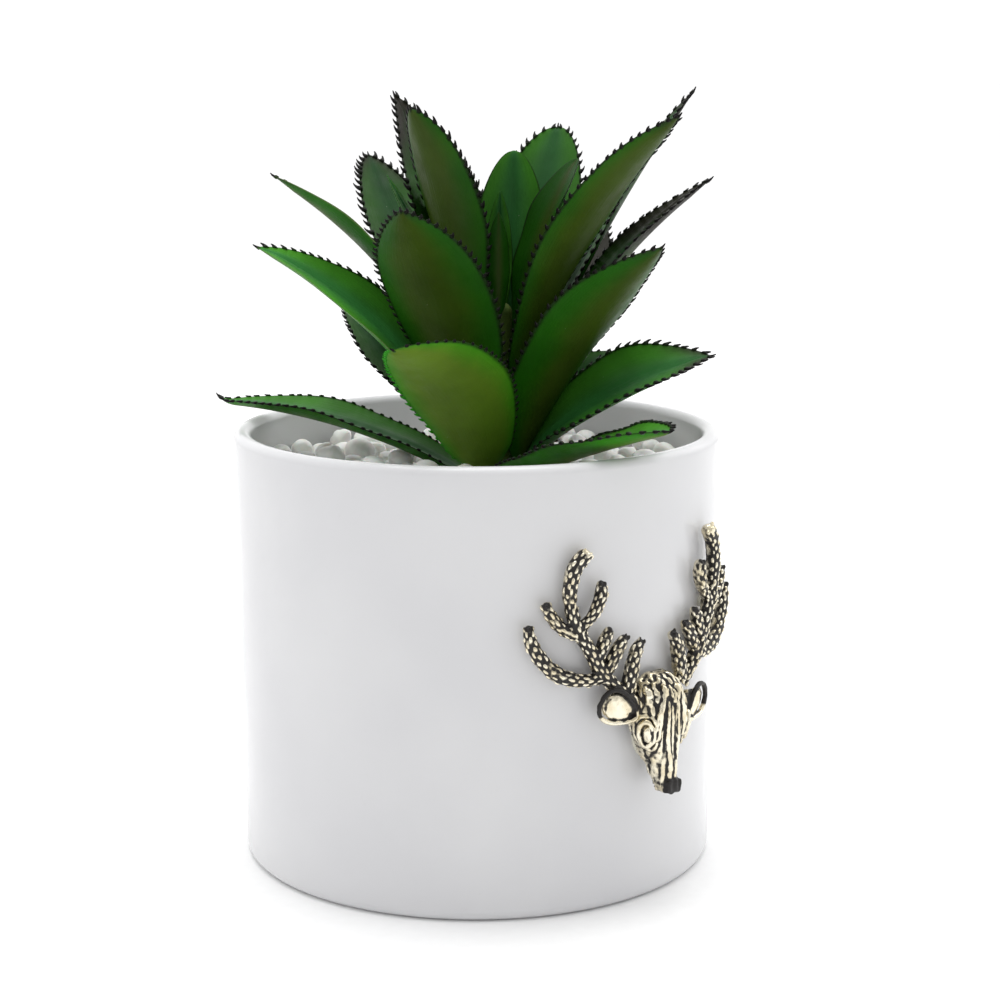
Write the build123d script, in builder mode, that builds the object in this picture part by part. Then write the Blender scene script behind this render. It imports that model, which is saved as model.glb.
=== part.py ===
"""Artificial succulent in a glazed pot with a cast stag-head ornament.

Millimetres, +Z up. The origin is the centre of the pot's underside, and the
ornament faces -Y. The plant stands slightly off the pot's axis, on its spike.
"""

from build123d import *
from math import cos, floor, pi, radians, sin
from typing import NamedTuple
import os

os.makedirs("parts", exist_ok=True)

# Pot: slip-cast cylinder that widens a little towards the rim.
POT_HEIGHT = 100.0
POT_RIM_R = 56.0
POT_BASE_R = 54.8
POT_WALL = 4.0
POT_FLOOR = 6.0
POT_LIP = 1.9  # rounding on both sides of the rim
POT_HEEL = 2.5  # rounding round the underside
POT_COVE = 6.0  # rounding inside, between wall and floor

# Foam plug and the dabs of glue under it.
FILL_DEPTH = 15.5  # from the rim down to the middle of the foam
FOAM_DROP = 2.0  # how much lower the foam is at the wall
FOAM_GAP = 0.6  # between foam and pot wall
GLUE_THICKNESS = 1.5
GLUE_R = 7.0
GLUE_CIRCLE_R = 26.0
GLUE_DABS = 4

# Plant stem, its wire and its sockets.
STEM_X = 2.8
STEM_Y = -2.5
STEM_R = 4.4
STEM_HEIGHT = 44.0  # above the foam
SPIKE_LENGTH = 40.0  # below the foam's surface
SPIKE_TAPER = 9.0
STEM_FIT = 0.05  # radial clearance of the stem in the foam
WIRE_R = 0.8
WIRE_FIT = 0.05
WIRE_END = 6.0  # plastic left over the wire's upper end
PEG_R = 1.0
PEG_FIT = 0.05
PEG_START = 2.2  # from the stem's axis to the peg's inner end
LEAF_START = 6.2  # from the stem's axis to the start of the blade

# Leaf blades: widest a little past the middle, cupped towards the stem.
BLADE_ROOT_SHARE = 0.42
BLADE_PEAK = 0.52
BLADE_NECK = 0.12  # share of the length that narrows to the peg
BLADE_CUP = 0.28  # rise of the edges as a share of the half width
BLADE_SPREAD = 0.93
BLADE_ROOT_THICKNESS = 2.0
BLADE_THICKNESS = 1.3
BLADE_EDGE = 0.4
BLADE_TIP_HALF = 0.45
BLADE_STATIONS = (0.0, 0.06, 0.14, 0.30, 0.50, 0.68, 0.83, 0.94, 1.0)
BLADE_STEPS = 50

# Pebbles: smooth ovals, laid in rings on the foam.
STONE_LONG = 3.9
STONE_SHORT = 2.8
STONE_SMALL = 0.85
STONE_GAP = 0.3
STONE_START_R = 21.0

# Ornament: one casting that follows the pot's wall.
ORNAMENT_DROP = 48.0  # from the rim down to the crown of the head
PAD_THICKNESS = 0.9
ANTLER_THICKNESS = 3.2
HEAD_PAD = (4.6, 6.5)
ANTLER_PAD_R = 1.3

FOAM_TOP = POT_HEIGHT - FILL_DEPTH
ORNAMENT_Z = POT_HEIGHT - ORNAMENT_DROP


class Leaf(NamedTuple):
    """How one leaf stands on the stem; angles in degrees, lengths in mm."""

    heading: float  # compass direction of the root, from +X towards +Y
    height: float  # of the peg above the foam
    length: float
    width: float
    rise: float  # slope at the root
    arch: float  # slope at the tip
    roll: float  # twist about the blade's own line
    swing: float  # turn of the heading between root and tip


LEAVES = {
    "leaf_front_low": Leaf(-145, 5, 61, 26, 54, 16, 20, -20),
    "leaf_front_mid": Leaf(-172, 14, 68, 27, 70, 36, 5, 30),
    "leaf_upper_left_front": Leaf(148, 35, 56, 22, 82, 66, 10, 20),
    "leaf_upper_left_back": Leaf(86, 28, 69, 23, 78, 54, -5, 10),
    "leaf_left_dark": Leaf(94, 18, 76, 24, 62, 38, 5, -25),
    "leaf_left_high": Leaf(127, 22, 68, 18, 66, 32, 10, 15),
    "leaf_left_mid": Leaf(142, 9, 69, 22, 66, 25, -10, 5),
    "leaf_left_low": Leaf(124, 3, 63, 22, 28, 2, 0, 5),
    "leaf_left_behind": Leaf(110, 7, 52, 24, 46, 38, 0, -20),
    "leaf_left_slim": Leaf(108, 25, 52, 8, 68, 54, 0, 0),
    "leaf_right_high": Leaf(-66, 22, 80, 20, 78, 34, -5, -25),
    "leaf_right_high_back": Leaf(-15, 18, 87, 17, 66, 50, -10, -5),
    "leaf_right_back": Leaf(-32, 13, 70, 18, 60, 44, 0, 0),
    "leaf_right_mid": Leaf(-66, 8, 64, 28, 68, 38, -10, -20),
    "leaf_right_low": Leaf(-70, 5, 54, 29, 37, 30, 20, 30),
    "leaf_right_curl": Leaf(-106, 2.5, 61, 25, 22, 16, 5, 20),
    "leaf_back_tall": Leaf(14, 27, 63, 25, 72, 54, 0, 15),
    "leaf_heart_back": Leaf(29, 33, 46, 16, 72, 84, 15, 0),
    "leaf_heart_right": Leaf(-50, 33, 46, 18, 86, 60, 15, 20),
    "leaf_heart_small_a": Leaf(36, 38, 31, 7, 84, 88, 0, 0),
    "leaf_heart_small_b": Leaf(-122, 41, 24, 6, 88, 88, 0, 0),
    "leaf_back_right": Leaf(18, 10, 74, 26, 50, 38, 0, 5),
    "leaf_right_back_low": Leaf(-2, 3, 46, 19, 54, 16, 15, 10),
    "leaf_back_low": Leaf(55, 3, 52, 22, 38, 10, 0, 0),
    "leaf_back_left": Leaf(74, 12, 54, 18, 56, 26, 0, 0),
    "leaf_back_centre": Leaf(38, 20, 54, 14, 60, 34, 0, 0),
}

# Left antler, looking at the face: each tine is an arc with a width, through
# three points given as x from the middle of the head and z above the crown.
TINES = (
    (3.6, (-7.5, -4.0), (-14.3, 2.6), (-20.5, 12.2)),
    (3.2, (-20.5, 12.2), (-22.4, 21.0), (-18.6, 29.2)),
    (2.6, (-20.3, 13.0), (-16.6, 17.2), (-15.4, 22.4)),
    (2.6, (-20.3, 12.0), (-24.4, 14.4), (-27.0, 18.6)),
    (3.2, (-15.4, 2.6), (-25.3, 5.0), (-30.3, 14.6)),
    (2.6, (-16.4, 5.0), (-14.6, 8.8), (-13.0, 12.4)),
    (2.6, (-13.6, 2.4), (-11.8, 6.6), (-9.4, 10.4)),
    (2.7, (-8.2, -2.6), (-7.0, 3.6), (-4.6, 8.6)),
)

# Head: half width, depth from the wall and z above the crown, from the nose up.
HEAD_SECTIONS = (
    (2.8, 4.6, -25.0),
    (4.2, 6.0, -20.0),
    (6.6, 7.0, -12.5),
    (7.6, 7.2, -6.5),
    (6.4, 6.2, -2.0),
    (3.0, 3.6, 1.0),
)
EAR_OFFSET = (12.4, -5.2)
EAR_HALF = (5.2, 3.6)
EAR_TURN = 24.0
EAR_DEPTH = 5.6


def wall_r(z):
    """Outer radius of the pot's wall at a height."""
    return POT_BASE_R + (POT_RIM_R - POT_BASE_R) * z / POT_HEIGHT


def inner_r(z):
    """Inner radius of the pot's wall at a height."""
    return wall_r(z) - POT_WALL


def foam_z(r):
    """Height of the foam's domed surface at a distance from the pot's axis."""
    return FOAM_TOP - FOAM_DROP * (r / inner_r(FOAM_TOP)) ** 2


def cone_profile(gap):
    """Half section of a solid that follows the pot's wall at a gap outside it."""
    reach = 2 * POT_HEIGHT
    return (0, 0), (wall_r(0) + gap, 0), (wall_r(reach) + gap, reach), (0, reach)


# Pot
with BuildPart() as pot:
    with BuildSketch(Plane.XZ) as pot_section:
        Polygon(
            (0, 0),
            (POT_BASE_R, 0),
            (POT_RIM_R, POT_HEIGHT),
            (POT_RIM_R - POT_WALL, POT_HEIGHT),
            (inner_r(POT_FLOOR), POT_FLOOR),
            (0, POT_FLOOR),
            align=None,
        )
        corners = pot_section.vertices()
        fillet(corners.sort_by_distance((POT_BASE_R, 0))[0], POT_HEEL)
        fillet(corners.sort_by_distance((inner_r(POT_FLOOR), POT_FLOOR))[0], POT_COVE)
        fillet(corners.group_by(Axis.Y)[-1], POT_LIP)
    revolve(axis=Axis.Z)
pot.part.label = "pot"
export_step(pot.part, "parts/pot.step")

# Glue between the pot's floor and the foam
FOAM_BASE = POT_FLOOR + GLUE_THICKNESS
with BuildPart() as foam_glue:
    with BuildSketch(Plane.XY.offset(POT_FLOOR)):
        with PolarLocations(GLUE_CIRCLE_R, GLUE_DABS):
            Circle(GLUE_R)
    extrude(amount=GLUE_THICKNESS)
foam_glue.part.label = "foam_glue"
export_step(foam_glue.part, "parts/foam_glue.step")

# Foam plug with the hole that the stem stands in
STEM_BOTTOM = FOAM_TOP - SPIKE_LENGTH
foam_foot_r = inner_r(FOAM_BASE) - FOAM_GAP
foam_top_r = inner_r(FOAM_TOP) - FOAM_GAP
with BuildPart() as foam_plug:
    with BuildSketch(Plane.XZ):
        with BuildLine():
            Polyline(
                (0, FOAM_TOP),
                (0, FOAM_BASE),
                (foam_foot_r - POT_COVE, FOAM_BASE),
                (foam_foot_r, FOAM_BASE + POT_COVE),
                (foam_top_r, foam_z(foam_top_r)),
            )
            ThreePointArc(
                (foam_top_r, foam_z(foam_top_r)),
                (foam_top_r / 2, foam_z(foam_top_r / 2)),
                (0, FOAM_TOP),
            )
        make_face()
    revolve(axis=Axis.Z)
    with BuildSketch(Plane.XY.offset(STEM_BOTTOM)):
        with Locations((STEM_X, STEM_Y)):
            Circle(STEM_R + STEM_FIT)
    extrude(amount=SPIKE_LENGTH, mode=Mode.SUBTRACT)
foam_plug.part.label = "foam_plug"
export_step(foam_plug.part, "parts/foam_plug.step")

# Stem: a round moulding with a spike, a bore for its wire and one socket a leaf
STEM_TOP = FOAM_TOP + STEM_HEIGHT
WIRE_TOP = STEM_TOP - WIRE_END
stem_plane = Plane((STEM_X, STEM_Y, 0), x_dir=(1, 0, 0), z_dir=(0, -1, 0))
with BuildPart() as stem_core:
    with BuildSketch(stem_plane) as stem_section:
        Polygon(
            (0, STEM_BOTTOM),
            (WIRE_R * 2, STEM_BOTTOM),
            (STEM_R, STEM_BOTTOM + SPIKE_TAPER),
            (STEM_R, STEM_TOP),
            (0, STEM_TOP),
            align=None,
        )
        top_corner = stem_section.vertices().sort_by_distance((STEM_R, STEM_TOP))[0]
        fillet(top_corner, STEM_R / 2)
    revolve(axis=Axis((STEM_X, STEM_Y, 0), (0, 0, 1)))
    with BuildSketch(Plane.XY.offset(STEM_BOTTOM)):
        with Locations((STEM_X, STEM_Y)):
            Circle(WIRE_R + WIRE_FIT)
    extrude(amount=WIRE_TOP - STEM_BOTTOM, mode=Mode.SUBTRACT)
    for leaf in LEAVES.values():
        outward = Vector(cos(radians(leaf.heading)), sin(radians(leaf.heading)), 0)
        socket_end = Vector(STEM_X, STEM_Y, FOAM_TOP + leaf.height) + outward * PEG_START
        with BuildSketch(Plane(socket_end, z_dir=outward)):
            Circle(PEG_R + PEG_FIT)
        extrude(amount=STEM_R, mode=Mode.SUBTRACT)
stem_core.part.label = "stem_core"
export_step(stem_core.part, "parts/stem_core.step")

with BuildPart() as stem_wire:
    with BuildSketch(Plane.XY.offset(STEM_BOTTOM)):
        with Locations((STEM_X, STEM_Y)):
            Circle(WIRE_R)
    extrude(amount=WIRE_TOP - STEM_BOTTOM)
stem_wire.part.label = "stem_wire"
export_step(stem_wire.part, "parts/stem_wire.step")


def half_width(leaf, t):
    """Half width of a blade at a share t of its length."""
    if t < BLADE_PEAK:
        share = BLADE_ROOT_SHARE + (1 - BLADE_ROOT_SHARE) * sin(pi / 2 * t / BLADE_PEAK)
    else:
        share = cos(pi / 2 * (t - BLADE_PEAK) / (1 - BLADE_PEAK)) ** 0.85
    neck = 0.3 + 0.7 * sin(pi / 2 * min(t / BLADE_NECK, 1))
    return max(leaf.width / 2 * share * neck, BLADE_TIP_HALF)


def blade_planes(leaf):
    """Planes across the blade at its stations, x sideways and y towards the stem."""
    planes = []
    point = Vector(STEM_X, STEM_Y, FOAM_TOP + leaf.height)
    point += Vector(cos(radians(leaf.heading)), sin(radians(leaf.heading)), 0) * LEAF_START
    for step in range(BLADE_STEPS + 1):
        t = step / BLADE_STEPS
        slope = radians(leaf.rise + (leaf.arch - leaf.rise) * t)
        heading = radians(leaf.heading + leaf.swing * t)
        along = Vector(cos(slope) * cos(heading), cos(slope) * sin(heading), sin(slope))
        if step > 0:
            point += (along + previous) * (leaf.length / BLADE_STEPS / 2)
        if any(abs(t - station) < 1e-6 for station in BLADE_STATIONS):
            side = Vector(-sin(heading), cos(heading), 0).rotate(Axis((0, 0, 0), along), leaf.roll)
            planes.append((t, Plane(point, x_dir=side, z_dir=along)))
        previous = along
    return planes


# Leaves: each a cupped blade on a peg
leaf_parts = {}
for name, leaf in LEAVES.items():
    with BuildPart() as leaf_part:
        for t, plane in blade_planes(leaf):
            half = half_width(leaf, t)
            thick = BLADE_ROOT_THICKNESS if t == 0 else BLADE_THICKNESS
            lift = BLADE_CUP * half
            edge = (BLADE_SPREAD * half, lift)
            with BuildSketch(plane):
                with BuildLine():
                    ThreePointArc((-edge[0], lift - BLADE_EDGE / 2), (0, -thick / 2),
                                  (edge[0], lift - BLADE_EDGE / 2))
                    Line((edge[0], lift - BLADE_EDGE / 2), (edge[0], lift + BLADE_EDGE / 2))
                    ThreePointArc((edge[0], lift + BLADE_EDGE / 2), (0, thick / 2),
                                  (-edge[0], lift + BLADE_EDGE / 2))
                    Line((-edge[0], lift + BLADE_EDGE / 2), (-edge[0], lift - BLADE_EDGE / 2))
                make_face()
        loft()
        outward = Vector(cos(radians(leaf.heading)), sin(radians(leaf.heading)), 0)
        peg_end = Vector(STEM_X, STEM_Y, FOAM_TOP + leaf.height) + outward * PEG_START
        with BuildSketch(Plane(peg_end, z_dir=outward)):
            Circle(PEG_R)
        extrude(amount=LEAF_START - PEG_START)
    leaf_part.part.label = name
    leaf_parts[name] = leaf_part.part
    export_step(leaf_part.part, f"parts/{name}.step")

# Pebbles: two sizes of oval, long side along the ring
with BuildPart() as stone:
    with BuildSketch(Plane.XY):
        Ellipse(STONE_LONG, STONE_SHORT)
        Rectangle(2 * STONE_LONG, STONE_SHORT, align=(Align.CENTER, Align.MAX), mode=Mode.SUBTRACT)
    revolve(axis=Axis.X)
with BuildPart() as small_stone:
    add(stone.part)
    scale(by=STONE_SMALL)

places = {stone: [], small_stone: []}
ring_pitch = 2 * STONE_SHORT + STONE_GAP
ring_count = floor((inner_r(FOAM_TOP) - STONE_GAP - STONE_SHORT - STONE_START_R) / ring_pitch) + 1
for ring in range(ring_count):
    ring_r = STONE_START_R + ring * ring_pitch
    count = floor(2 * pi * ring_r / (2 * STONE_LONG + 2 * STONE_GAP))
    for index in range(count):
        angle = 360 / count * (index + ring / 2)
        rest = foam_z(ring_r) + STONE_SHORT + STONE_GAP
        spot = Pos(ring_r * cos(radians(angle)), ring_r * sin(radians(angle)), rest)
        mould = small_stone if (index + ring) % 3 == 0 else stone
        places[mould].append(spot * Rot(0, 0, angle + 90))
with BuildPart() as pebbles:
    for mould, spots in places.items():
        with Locations(*spots):
            add(mould.part)
pebbles.part.label = "pebbles"
export_step(pebbles.part, "parts/pebbles.step")

# Ornament: antlers cut from a ring round the pot, with the head in front
with BuildPart() as deer_ornament:
    with BuildSketch(Plane.XZ.offset(POT_BASE_R / 2)):
        for width, *points in TINES:
            for side in (1, -1):
                centres = [Vector(side * x, ORNAMENT_Z + z) for x, z in points]
                bend = ThreePointArc(*centres, mode=Mode.PRIVATE).arc_center
                with BuildLine():
                    for edge in (width / 2, -width / 2):
                        ThreePointArc(*[p + (p - bend).normalized() * edge for p in centres])
                    for p in (centres[0], centres[-1]):
                        across = (p - bend).normalized() * (width / 2)
                        Line(p + across, p - across)
                make_face()
                with Locations(centres[0], centres[-1]):
                    Circle(width / 2)
    extrude(amount=POT_RIM_R)
    with BuildSketch(Plane.XZ):
        Polygon(*cone_profile(PAD_THICKNESS + ANTLER_THICKNESS), align=None)
    revolve(axis=Axis.Z, mode=Mode.INTERSECT)
    for half, depth, z in HEAD_SECTIONS:
        with BuildSketch(Plane((0, -wall_r(ORNAMENT_Z + z), ORNAMENT_Z + z))):
            Ellipse(half, depth)
    loft()
    for side in (1, -1):
        ear_x = side * EAR_OFFSET[0]
        ear_y = -wall_r(ORNAMENT_Z) - EAR_DEPTH + 1
        ear_plane = Plane((ear_x, ear_y, ORNAMENT_Z + EAR_OFFSET[1]), x_dir=(1, 0, 0), z_dir=(0, 1, 0))
        with BuildSketch(ear_plane):
            Ellipse(*EAR_HALF, rotation=side * EAR_TURN)
        extrude(amount=2 * EAR_DEPTH)
    with BuildSketch(Plane.XZ):
        Polygon(*cone_profile(PAD_THICKNESS), align=None)
    revolve(axis=Axis.Z, mode=Mode.SUBTRACT)
deer_ornament.part.label = "deer_ornament"
export_step(deer_ornament.part, "parts/deer_ornament.step")

# Adhesive behind the head and behind each antler's fork
with BuildPart() as ornament_adhesive:
    with BuildSketch(Plane.XZ.offset(POT_BASE_R / 2)):
        with Locations((0, ORNAMENT_Z + HEAD_SECTIONS[2][2])):
            Ellipse(*HEAD_PAD)
        fork_x, fork_z = TINES[0][-1]
        with Locations((fork_x, ORNAMENT_Z + fork_z), (-fork_x, ORNAMENT_Z + fork_z)):
            Circle(ANTLER_PAD_R)
    extrude(amount=POT_RIM_R)
    with BuildSketch(Plane.XZ):
        Polygon(*cone_profile(PAD_THICKNESS), align=None)
    revolve(axis=Axis.Z, mode=Mode.INTERSECT)
    with BuildSketch(Plane.XZ):
        Polygon(*cone_profile(0), align=None)
    revolve(axis=Axis.Z, mode=Mode.SUBTRACT)
ornament_adhesive.part.label = "ornament_adhesive"
export_step(ornament_adhesive.part, "parts/ornament_adhesive.step")
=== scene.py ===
"""Artificial succulent in a white glazed pot with a cast stag-head ornament.

Metres, +Z up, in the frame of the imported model: the pot stands on its
underside at z = 0 and the ornament faces -Y.
"""

from math import cos, pi, radians, sin
from typing import NamedTuple

import bmesh
import bpy
import numpy as np
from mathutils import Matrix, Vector, noise


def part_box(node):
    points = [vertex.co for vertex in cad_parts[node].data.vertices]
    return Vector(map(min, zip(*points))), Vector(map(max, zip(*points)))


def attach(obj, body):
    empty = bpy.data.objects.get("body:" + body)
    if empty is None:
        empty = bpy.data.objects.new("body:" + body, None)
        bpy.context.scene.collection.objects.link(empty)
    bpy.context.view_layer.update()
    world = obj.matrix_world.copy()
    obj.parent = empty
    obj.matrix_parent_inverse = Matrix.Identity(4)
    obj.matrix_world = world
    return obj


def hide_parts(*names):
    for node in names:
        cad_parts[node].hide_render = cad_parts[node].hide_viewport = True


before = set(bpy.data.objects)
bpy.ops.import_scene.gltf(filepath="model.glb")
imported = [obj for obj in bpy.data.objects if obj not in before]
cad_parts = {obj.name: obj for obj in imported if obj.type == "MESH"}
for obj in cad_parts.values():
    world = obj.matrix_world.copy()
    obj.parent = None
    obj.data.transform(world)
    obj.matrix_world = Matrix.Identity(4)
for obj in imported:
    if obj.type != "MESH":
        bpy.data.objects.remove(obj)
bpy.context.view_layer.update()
MM = 0.001


# Studio. A product table: a pale floor, white surroundings and soft panels of
# light. The camera stands in front of the pot, turned to the ornament's left
# and tilted down on it.
VIEW_TURN = radians(-42.0)
VIEW_DISTANCE = 0.5047
VIEW_HEIGHT = 0.1807
VIEW_TILT = radians(11.02)
VIEW_AIM = radians(-0.61)
LENS = 79.4
FLOOR_SIZE = 60.0
SKY_BEHIND_CAMERA = 0.66
SKY_BEHIND_OBJECT = 1.28
PANELS = (
    # name, place, size, power, aimed at the middle of the object
    ("panel_left", (-0.95, 0.25, 0.45), 0.7, 0.4),
    ("panel_right", (0.75, -0.10, 0.50), 0.6, 0.75),
    ("panel_top", (0.05, 0.10, 1.10), 0.7, 5.0),
)
AIM_POINT = Vector((0, 0, 0.10))

scene = bpy.context.scene
scene.view_settings.view_transform = "Standard"
camera_data = bpy.data.cameras.new("camera")
camera_data.sensor_width = 36
camera_data.lens = LENS
camera = bpy.data.objects.new("camera", camera_data)
scene.collection.objects.link(camera)
scene.camera = camera
camera.location = (VIEW_DISTANCE * sin(VIEW_TURN), -VIEW_DISTANCE * cos(VIEW_TURN), VIEW_HEIGHT)
camera.rotation_euler = (pi / 2 - VIEW_TILT, 0, VIEW_TURN + VIEW_AIM)

for name, place, size, power in PANELS:
    light = bpy.data.lights.new(name, "AREA")
    light.shape = "DISK"
    light.size = size
    light.energy = power
    lamp = bpy.data.objects.new(name, light)
    lamp.location = place
    lamp.rotation_euler = (AIM_POINT - Vector(place)).to_track_quat("-Z", "Y").to_euler()
    scene.collection.objects.link(lamp)


def add_node(tree, kind, inputs=None, **settings):
    """A shader node with its settings, its input values and its links."""
    made = tree.nodes.new(kind)
    for key, value in settings.items():
        setattr(made, key, value)
    for key, value in (inputs or {}).items():
        if isinstance(value, bpy.types.NodeSocket):
            tree.links.new(value, made.inputs[key])
        else:
            made.inputs[key].default_value = value
    return made


def new_finish(name, **constants):
    """A material, its node tree and its shader, with constants set on the shader."""
    finish = bpy.data.materials.new(name)
    finish.use_nodes = True
    shader = finish.node_tree.nodes["Principled BSDF"]
    for key, value in constants.items():
        shader.inputs[key.replace("_", " ")].default_value = value
    return finish, finish.node_tree, shader


def places(tree):
    """The object's own coordinates, in metres."""
    return add_node(tree, "ShaderNodeTexCoord").outputs["Object"]


def grain(tree, vector, scale, detail=3.0, rough=0.5):
    """Noise between 0 and 1, with a number of grains to the metre."""
    inputs = {"Vector": vector, "Scale": scale, "Detail": detail, "Roughness": rough}
    return add_node(tree, "ShaderNodeTexNoise", inputs).outputs["Fac"]


def remap(tree, value, low, high, to_low=0.0, to_high=1.0):
    """A value eased from one range to another."""
    inputs = {"Value": value, 1: low, 2: high, 3: to_low, 4: to_high}
    return add_node(tree, "ShaderNodeMapRange", inputs, interpolation_type="SMOOTHSTEP").outputs[0]


def blend_colour(tree, share, first, second, kind="MIX"):
    """Two colours mixed by a share."""
    made = add_node(tree, "ShaderNodeMix", data_type="RGBA", blend_type=kind)
    for key, value in ((0, share), (6, first), (7, second)):
        if isinstance(value, bpy.types.NodeSocket):
            tree.links.new(value, made.inputs[key])
        else:
            made.inputs[key].default_value = value if key == 0 else (*value, 1)
    return made.outputs[2]


def calc(tree, kind, first, second=0.0):
    """One sum, product or comparison of two numbers."""
    inputs = {0: first, 1: second}
    return add_node(tree, "ShaderNodeMath", inputs, operation=kind).outputs[0]


def feed(tree, shader, **sockets):
    """Links values to the shader's inputs by name."""
    for key, socket in sockets.items():
        tree.links.new(socket, shader.inputs[key.replace("_", " ")])


def relief(tree, shader, height, depth, strength=1.0):
    """Bump from a height between 0 and 1 and its depth in metres."""
    inputs = {"Height": height, "Distance": depth, "Strength": strength}
    bump = add_node(tree, "ShaderNodeBump", inputs)
    tree.links.new(bump.outputs["Normal"], shader.inputs["Normal"])


world = bpy.data.worlds.new("studio")
scene.world = world
world.use_nodes = True
world_tree = world.node_tree
sky = world_tree.nodes["Background"]
sky_way = add_node(world_tree, "ShaderNodeTexCoord").outputs["Generated"]
forward = (-sin(VIEW_TURN), cos(VIEW_TURN), 0)
ahead = add_node(world_tree, "ShaderNodeVectorMath", {0: sky_way, 1: forward}, operation="DOT_PRODUCT")
sky_level = remap(world_tree, ahead.outputs["Value"], -0.8, 0.3, SKY_BEHIND_CAMERA, SKY_BEHIND_OBJECT)
world_tree.links.new(sky_level, sky.inputs["Strength"])
sky.inputs["Color"].default_value = (1.0, 1.0, 1.0, 1)

floor_mesh = bpy.data.meshes.new("floor")
half_floor = FLOOR_SIZE / 2
floor_corners = [(x * half_floor, y * half_floor, 0) for x, y in ((-1, -1), (1, -1), (1, 1), (-1, 1))]
floor_mesh.from_pydata(floor_corners, [], [(0, 1, 2, 3)])
floor = bpy.data.objects.new("floor", floor_mesh)
scene.collection.objects.link(floor)
floor_finish, tree, shader = new_finish("floor_paper", Roughness=0.9)
paper = remap(tree, grain(tree, places(tree), 300), 0.3, 0.7)
feed(tree, shader, Base_Color=blend_colour(tree, paper, (0.95, 0.95, 0.95), (0.97, 0.97, 0.97)))
floor_mesh.materials.append(floor_finish)


# Pot. Slip-cast stoneware, dipped in a white glossy glaze and wiped bare on its
# underside, where it stands. The wall opens a little towards a rounded rim.
_, pot_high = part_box("pot")
POT_RIM_R = pot_high.x
POT_HEIGHT = pot_high.z
POT_TAPER = 1.2 * MM
POT_BASE_R = POT_RIM_R - POT_TAPER
POT_WALL = 4.0 * MM
POT_FLOOR = 6.0 * MM
POT_LIP = 1.9 * MM
POT_HEEL = 2.5 * MM
POT_COVE = 6.0 * MM
POT_SEGMENTS = 224
BARE_BELOW = 0.01 * MM


def wall_r(z):
    """Outer radius of the pot's wall at a height."""
    return POT_BASE_R + (POT_RIM_R - POT_BASE_R) * z / POT_HEIGHT


def quarter(centre, radius, start, end, count=10):
    """Points of an arc in a section, angles in degrees from outward towards up."""
    angles = [radians(start + (end - start) * i / count) for i in range(count + 1)]
    return [(centre[0] + radius * cos(a), centre[1] + radius * sin(a)) for a in angles]


def steps(start, end, count):
    """Evenly spaced points between two points of a section, without the ends."""
    return [tuple(a + (b - a) * i / count for a, b in zip(start, end)) for i in range(1, count)]


def link_mesh(name, verts, faces, finish):
    """An object of its own mesh, with its finish and smooth faces."""
    mesh = bpy.data.meshes.new(name)
    mesh.from_pydata([tuple(v) for v in verts], [], [tuple(f) for f in faces])
    mesh.update()
    mesh.polygons.foreach_set("use_smooth", [True] * len(mesh.polygons))
    mesh.materials.append(finish)
    made = bpy.data.objects.new(name, mesh)
    scene.collection.objects.link(made)
    return made


def turn_section(name, section, segments, finish):
    """A closed shape turned round the Z axis from a section that starts and ends on it."""
    verts = [(0, 0, section[0][1]), (0, 0, section[-1][1])]
    faces = []
    inner = section[1:-1]
    for i in range(segments):
        angle = 2 * pi * i / segments
        verts += [(r * cos(angle), r * sin(angle), z) for r, z in inner]
    count = len(inner)
    for i in range(segments):
        here = 2 + i * count
        there = 2 + (i + 1) % segments * count
        faces.append((0, there, here))
        faces.append((1, here + count - 1, there + count - 1))
        faces += [(here + k, there + k, there + k + 1, here + k + 1) for k in range(count - 1)]
    return link_mesh(name, verts, faces, finish)


heel = quarter((POT_BASE_R - POT_HEEL, POT_HEEL), POT_HEEL, -90, 0)
lip_out = quarter((POT_RIM_R - POT_LIP, POT_HEIGHT - POT_LIP), POT_LIP, 0, 90)
lip_in = quarter((POT_RIM_R - POT_WALL + POT_LIP, POT_HEIGHT - POT_LIP), POT_LIP, 90, 180)
cove_r = wall_r(POT_FLOOR) - POT_WALL - POT_COVE
cove = quarter((cove_r, POT_FLOOR + POT_COVE), POT_COVE, 0, -90)
pot_section = [(0, 0)]
pot_section += steps((0, 0), heel[0], 12) + heel
pot_section += steps(heel[-1], lip_out[0], 24) + lip_out + lip_in
pot_section += steps(lip_in[-1], cove[0], 24) + cove
pot_section += steps(cove[-1], (0, POT_FLOOR), 12) + [(0, POT_FLOOR)]

glaze, tree, shader = new_finish(
    "white_glaze", Coat_Weight=0.15, Coat_Roughness=0.04, IOR=1.45, Specular_IOR_Level=0.3)
glaze_pool = remap(tree, grain(tree, places(tree), 22, 2), 0.3, 0.7)
glaze_colour = blend_colour(tree, glaze_pool, (0.63, 0.63, 0.645), (0.67, 0.67, 0.68))
glaze_speck = remap(tree, grain(tree, places(tree), 1500, 1), 0.74, 0.80)
glaze_colour = blend_colour(tree, calc(tree, "MULTIPLY", glaze_speck, 0.10), glaze_colour, (0.45, 0.43, 0.40))
feed(tree, shader, Base_Color=glaze_colour)
feed(tree, shader, Roughness=remap(tree, grain(tree, places(tree), 60), 0.2, 0.8, 0.17, 0.27))
orange_peel = calc(tree, "ADD", grain(tree, places(tree), 260, 1), calc(
    tree, "MULTIPLY", grain(tree, places(tree), 40, 2), 1.6))
relief(tree, shader, orange_peel, 0.04 * MM, 0.5)

bisque, tree, shader = new_finish("bare_clay")
clay = remap(tree, grain(tree, places(tree), 900, 4), 0.3, 0.7)
feed(tree, shader, Base_Color=blend_colour(tree, clay, (0.62, 0.57, 0.49), (0.74, 0.70, 0.62)))
feed(tree, shader, Roughness=remap(tree, clay, 0, 1, 0.75, 0.95))
relief(tree, shader, clay, 0.08 * MM, 0.6)

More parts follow.
